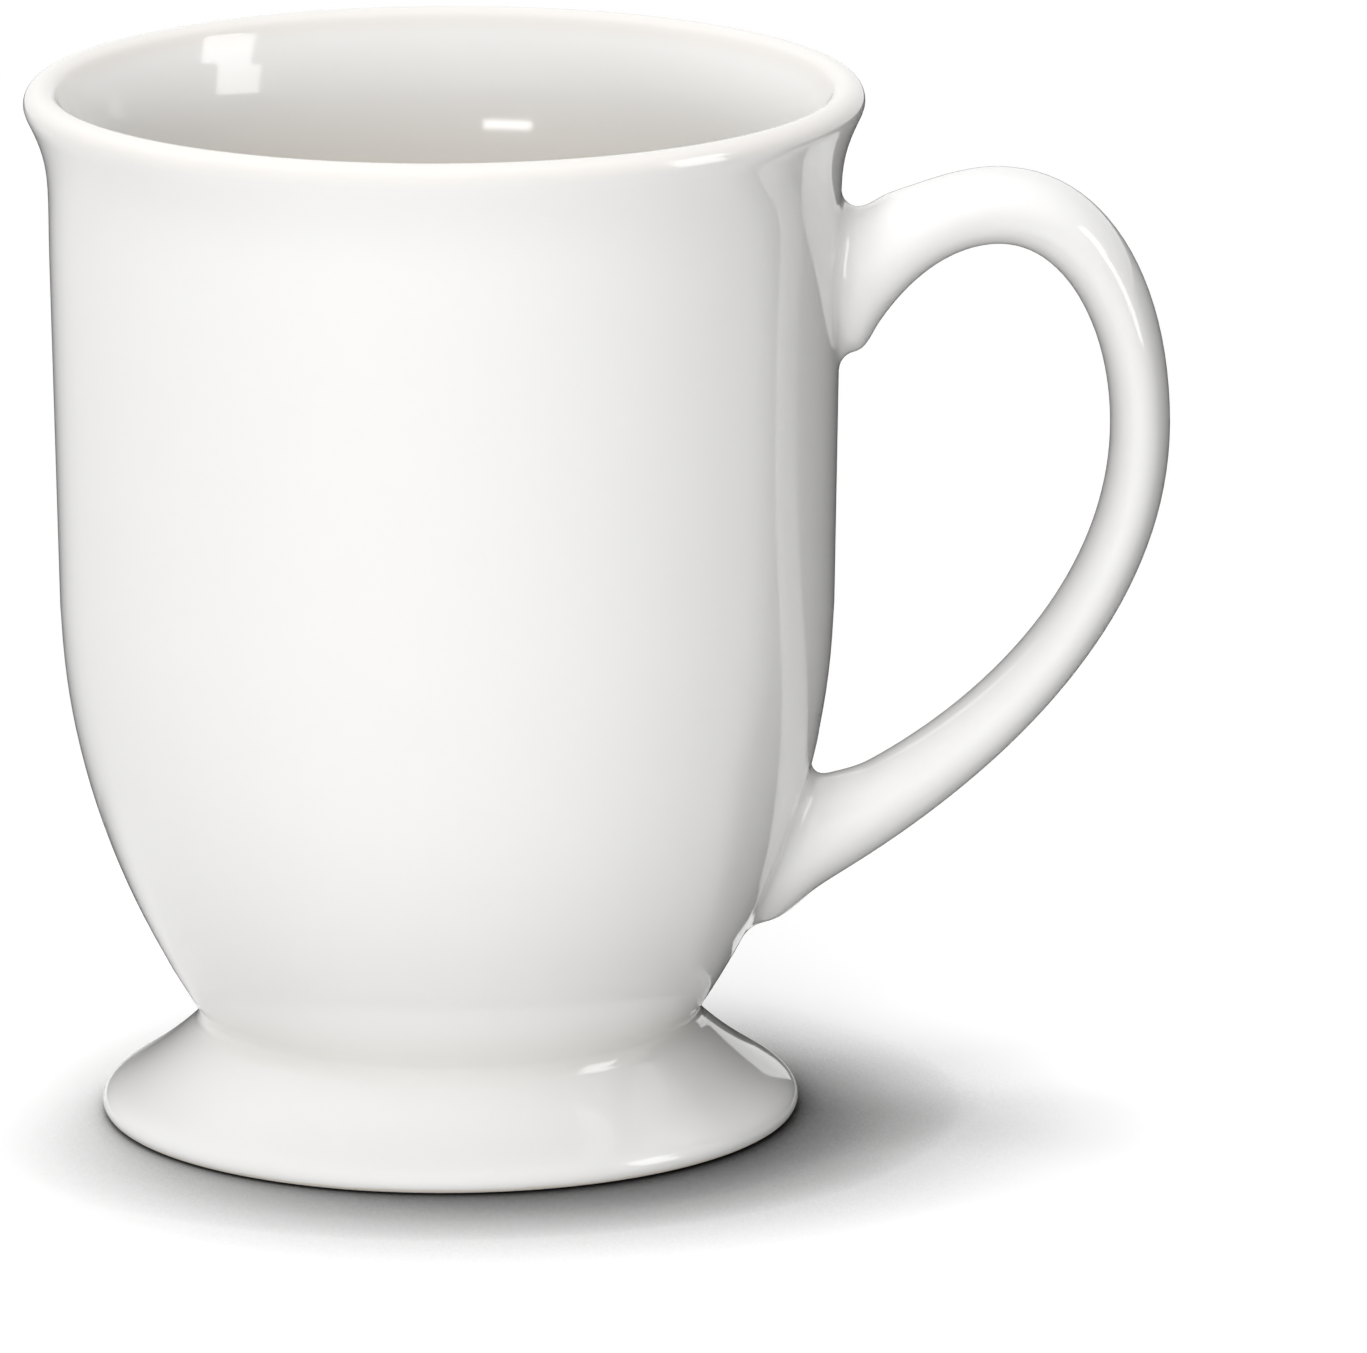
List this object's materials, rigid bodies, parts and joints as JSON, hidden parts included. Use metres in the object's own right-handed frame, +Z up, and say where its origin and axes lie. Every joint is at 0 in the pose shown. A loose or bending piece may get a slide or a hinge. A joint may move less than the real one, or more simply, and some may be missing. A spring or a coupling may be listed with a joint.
{
  "type": "footed mug",
  "caption": "Tall footed mug with a flared rim, a narrow waist, a spreading hollow foot and a large loop handle, in plain glazed ceramic.",
  "frame": {"origin": "centre of the foot, on the mug's axis, in the plane that it stands on", "axes": "+Z up along the mug's axis, +X towards the handle"},
  "size_m": [0.1383, 0.1014, 0.127],
  "materials": {
    "glaze": "glossy warm white glaze over a white fired body, with the standing ring left bare"
  },
  "bodies": {
    "root": {"mug": "glaze"}
  },
  "joints": []
}
